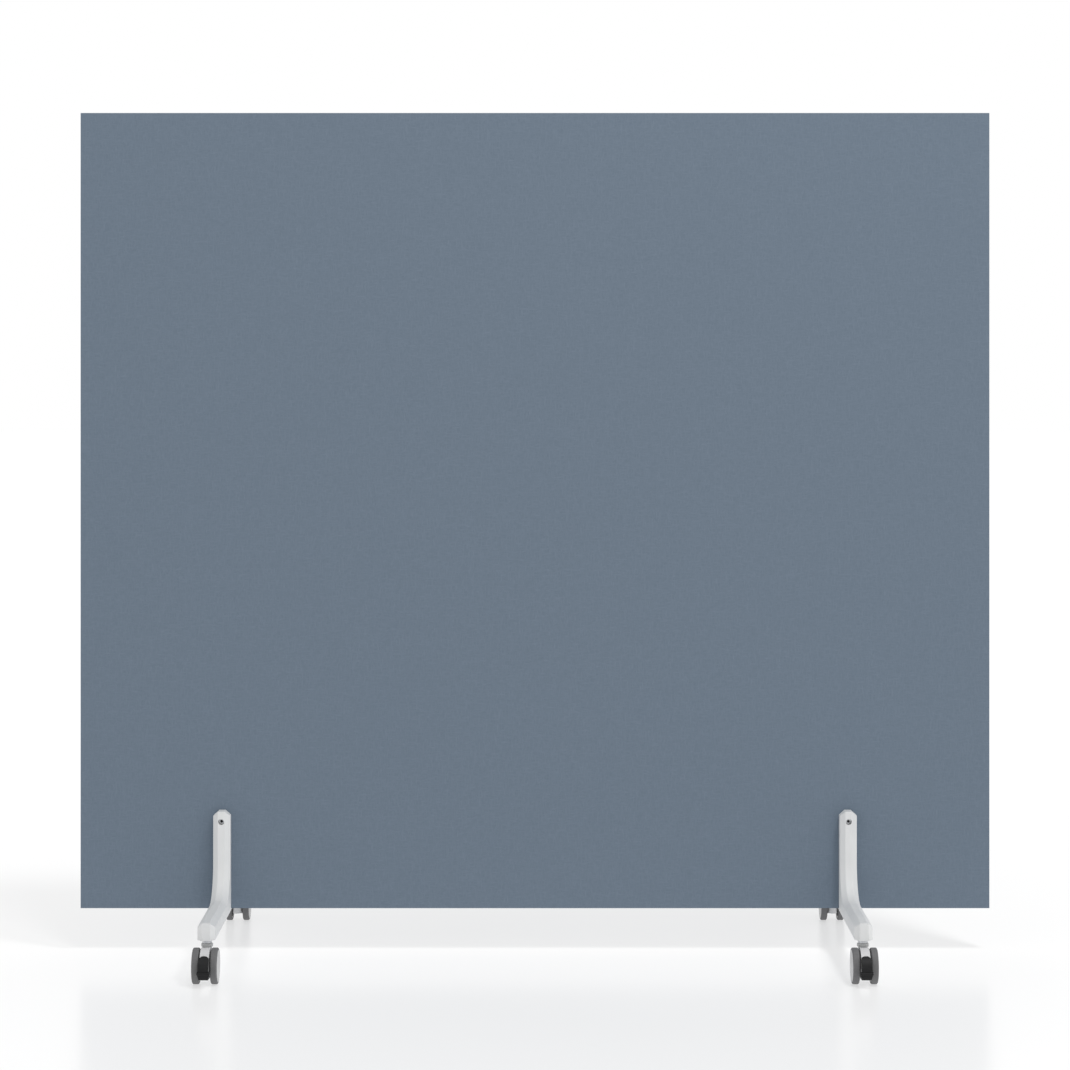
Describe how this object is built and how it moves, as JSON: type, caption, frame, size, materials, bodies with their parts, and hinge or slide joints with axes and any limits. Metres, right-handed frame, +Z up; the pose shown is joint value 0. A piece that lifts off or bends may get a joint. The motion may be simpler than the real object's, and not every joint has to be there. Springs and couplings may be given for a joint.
{
  "type": "rolling partition",
  "caption": "Thin rectangular felt-faced partition panel, clamped upright between cast metal feet that stand on braked twin-wheel swivel castors.",
  "frame": {"origin": "on the floor under the middle of the panel", "axes": "+Z up, X along the panel with +X to the viewer's right, the front face looks towards -Y"},
  "size_m": [1.6, 0.639, 1.475],
  "materials": {
    "felt": "pressed felt, matt, slate blue",
    "edge_band": "matt slate blue edging strip",
    "fibreboard": "raw fibreboard, hidden by felt and edging",
    "white_coat": "fine-grained white powder coat over cast aluminium",
    "steel": "zinc-plated steel",
    "pale_plastic": "moulded pale grey nylon, satin",
    "grey_plastic": "moulded mid grey nylon, satin",
    "tread": "soft dark grey tread, matt",
    "black_plastic": "moulded black nylon, fine grain"
  },
  "bodies": {
    "frame": {"panel_core": "fibreboard", "front_felt": "felt", "rear_felt": "felt", "edge_band_top": "edge_band", "edge_band_bottom": "edge_band", "edge_band_left": "edge_band", "edge_band_right": "edge_band", "foot_front_left": "white_coat", "foot_front_right": "white_coat", "foot_rear_left": "white_coat", "foot_rear_right": "white_coat", "bridge_plate_left": "white_coat", "bridge_plate_right": "white_coat", "bridge_screws": "steel", "clamp_sleeves": "steel", "clamp_bolts": "steel", "castor_stems": "steel"},
    "front_left_swivel": {"front_left_castor_cap": "grey_plastic", "front_left_castor_housing": "pale_plastic", "front_left_castor_axle": "steel", "front_left_brake_pin": "steel", "front_left_brake_spring": "steel"},
    "front_left_wheel_left": {"front_left_wheel_left": "pale_plastic", "front_left_tread_left": "tread"},
    "front_left_wheel_right": {"front_left_wheel_right": "pale_plastic", "front_left_tread_right": "tread"},
    "front_left_brake": {"front_left_brake_pedal": "black_plastic"},
    "front_right_swivel": {"front_right_castor_cap": "grey_plastic", "front_right_castor_housing": "pale_plastic", "front_right_castor_axle": "steel", "front_right_brake_pin": "steel", "front_right_brake_spring": "steel"},
    "front_right_wheel_left": {"front_right_wheel_left": "pale_plastic", "front_right_tread_left": "tread"},
    "front_right_wheel_right": {"front_right_wheel_right": "pale_plastic", "front_right_tread_right": "tread"},
    "front_right_brake": {"front_right_brake_pedal": "black_plastic"},
    "rear_left_swivel": {"rear_left_castor_cap": "grey_plastic", "rear_left_castor_housing": "pale_plastic", "rear_left_castor_axle": "steel", "rear_left_brake_pin": "steel", "rear_left_brake_spring": "steel"},
    "rear_left_wheel_left": {"rear_left_wheel_left": "pale_plastic", "rear_left_tread_left": "tread"},
    "rear_left_wheel_right": {"rear_left_wheel_right": "pale_plastic", "rear_left_tread_right": "tread"},
    "rear_left_brake": {"rear_left_brake_pedal": "black_plastic"},
    "rear_right_swivel": {"rear_right_castor_cap": "grey_plastic", "rear_right_castor_housing": "pale_plastic", "rear_right_castor_axle": "steel", "rear_right_brake_pin": "steel", "rear_right_brake_spring": "steel"},
    "rear_right_wheel_left": {"rear_right_wheel_left": "pale_plastic", "rear_right_tread_left": "tread"},
    "rear_right_wheel_right": {"rear_right_wheel_right": "pale_plastic", "rear_right_tread_right": "tread"},
    "rear_right_brake": {"rear_right_brake_pedal": "black_plastic"}
  },
  "joints": [
    {"name": "front_left_swivel_turn", "type": "hinge", "parent": "frame", "child": "front_left_swivel", "pos_m": [-0.55, -0.253, 0.045], "axis": [0, 0, 1], "continuous": true},
    {"name": "front_left_wheel_left_roll", "type": "hinge", "parent": "front_left_swivel", "child": "front_left_wheel_left", "pos_m": [-0.55, -0.275, 0.03], "axis": [1, 0, 0], "continuous": true},
    {"name": "front_left_wheel_right_roll", "type": "hinge", "parent": "front_left_swivel", "child": "front_left_wheel_right", "pos_m": [-0.55, -0.275, 0.03], "axis": [1, 0, 0], "continuous": true},
    {"name": "front_left_brake_press", "type": "hinge", "parent": "front_left_swivel", "child": "front_left_brake", "pos_m": [-0.55, -0.289, 0.042], "axis": [1, 0, 0], "range_deg": [0, 12]},
    {"name": "front_right_swivel_turn", "type": "hinge", "parent": "frame", "child": "front_right_swivel", "pos_m": [0.55, -0.253, 0.045], "axis": [0, 0, 1], "continuous": true},
    {"name": "front_right_wheel_left_roll", "type": "hinge", "parent": "front_right_swivel", "child": "front_right_wheel_left", "pos_m": [0.55, -0.275, 0.03], "axis": [1, 0, 0], "continuous": true},
    {"name": "front_right_wheel_right_roll", "type": "hinge", "parent": "front_right_swivel", "child": "front_right_wheel_right", "pos_m": [0.55, -0.275, 0.03], "axis": [1, 0, 0], "continuous": true},
    {"name": "front_right_brake_press", "type": "hinge", "parent": "front_right_swivel", "child": "front_right_brake", "pos_m": [0.55, -0.289, 0.042], "axis": [1, 0, 0], "range_deg": [0, 12]},
    {"name": "rear_left_swivel_turn", "type": "hinge", "parent": "frame", "child": "rear_left_swivel", "pos_m": [-0.55, 0.253, 0.045], "axis": [0, 0, 1], "continuous": true},
    {"name": "rear_left_wheel_left_roll", "type": "hinge", "parent": "rear_left_swivel", "child": "rear_left_wheel_left", "pos_m": [-0.55, 0.275, 0.03], "axis": [1, 0, 0], "continuous": true},
    {"name": "rear_left_wheel_right_roll", "type": "hinge", "parent": "rear_left_swivel", "child": "rear_left_wheel_right", "pos_m": [-0.55, 0.275, 0.03], "axis": [1, 0, 0], "continuous": true},
    {"name": "rear_left_brake_press", "type": "hinge", "parent": "rear_left_swivel", "child": "rear_left_brake", "pos_m": [-0.55, 0.289, 0.042], "axis": [-1, 0, 0], "range_deg": [0, 12]},
    {"name": "rear_right_swivel_turn", "type": "hinge", "parent": "frame", "child": "rear_right_swivel", "pos_m": [0.55, 0.253, 0.045], "axis": [0, 0, 1], "continuous": true},
    {"name": "rear_right_wheel_left_roll", "type": "hinge", "parent": "rear_right_swivel", "child": "rear_right_wheel_left", "pos_m": [0.55, 0.275, 0.03], "axis": [1, 0, 0], "continuous": true},
    {"name": "rear_right_wheel_right_roll", "type": "hinge", "parent": "rear_right_swivel", "child": "rear_right_wheel_right", "pos_m": [0.55, 0.275, 0.03], "axis": [1, 0, 0], "continuous": true},
    {"name": "rear_right_brake_press", "type": "hinge", "parent": "rear_right_swivel", "child": "rear_right_brake", "pos_m": [0.55, 0.289, 0.042], "axis": [-1, 0, 0], "range_deg": [0, 12]}
  ]
}
